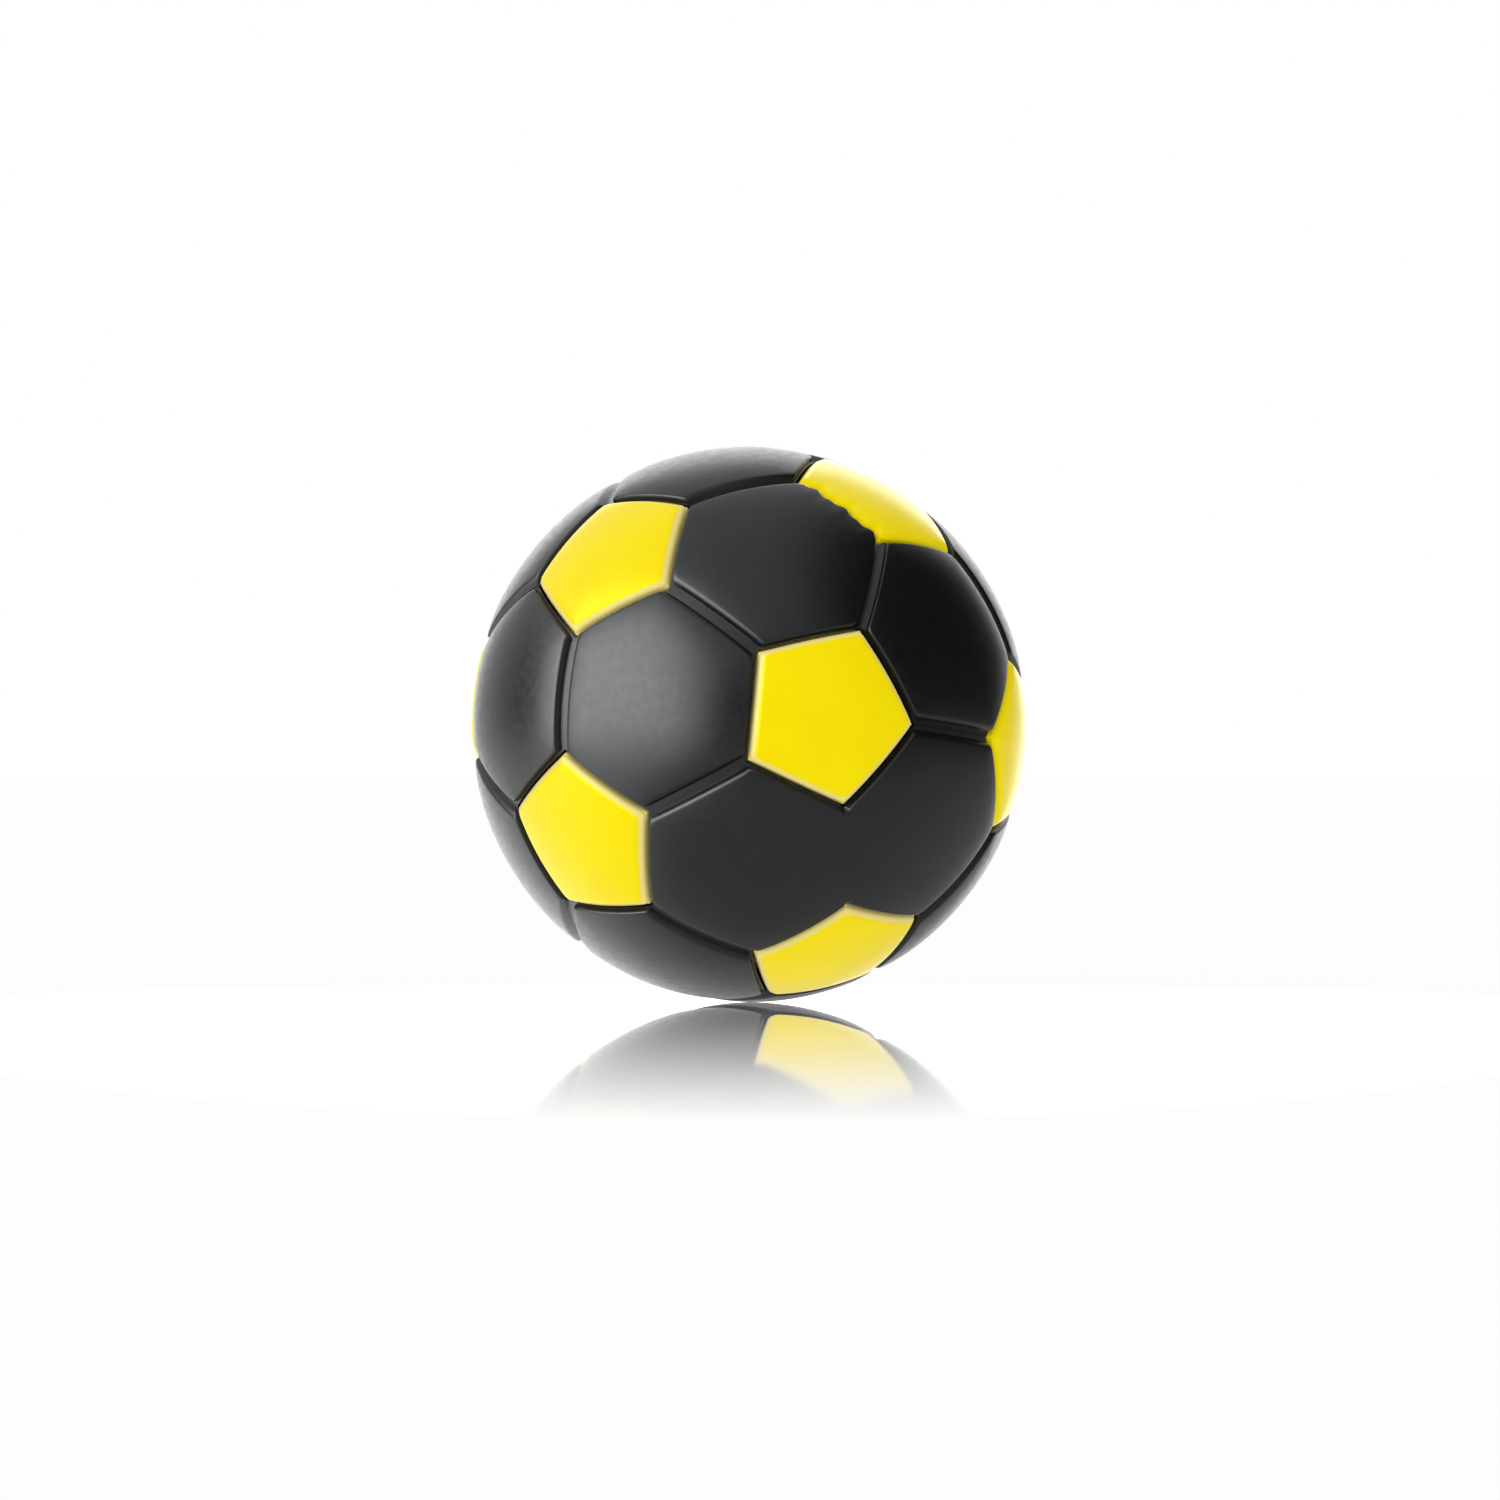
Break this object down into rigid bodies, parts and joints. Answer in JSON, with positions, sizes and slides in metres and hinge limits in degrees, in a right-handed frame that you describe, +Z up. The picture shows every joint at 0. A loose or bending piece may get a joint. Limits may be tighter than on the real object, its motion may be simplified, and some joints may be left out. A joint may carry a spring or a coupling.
{
  "type": "table football ball",
  "caption": "Small solid plastic ball in a football pattern, with black hexagons, yellow pentagons and engraved seams.",
  "frame": {"origin": "centre of the ball", "axes": "+Z up as the ball lies in the picture, -Y towards the camera, +X to the camera's right"},
  "size_m": [0.035, 0.035, 0.035],
  "materials": {
    "black_plastic": "satin black ABS with a fine matt grain",
    "yellow_plastic": "glossy bright yellow ABS",
    "core_plastic": "plain black ABS, as moulded"
  },
  "bodies": {
    "root": {"core": "core_plastic", "front_skin": "black_plastic", "rear_skin": "black_plastic", "pentagon_front_pole": "yellow_plastic", "pentagon_front_1": "yellow_plastic", "pentagon_front_2": "yellow_plastic", "pentagon_front_3": "yellow_plastic", "pentagon_front_4": "yellow_plastic", "pentagon_front_5": "yellow_plastic", "pentagon_rear_pole": "yellow_plastic", "pentagon_rear_1": "yellow_plastic", "pentagon_rear_2": "yellow_plastic", "pentagon_rear_3": "yellow_plastic", "pentagon_rear_4": "yellow_plastic", "pentagon_rear_5": "yellow_plastic"}
  },
  "joints": []
}
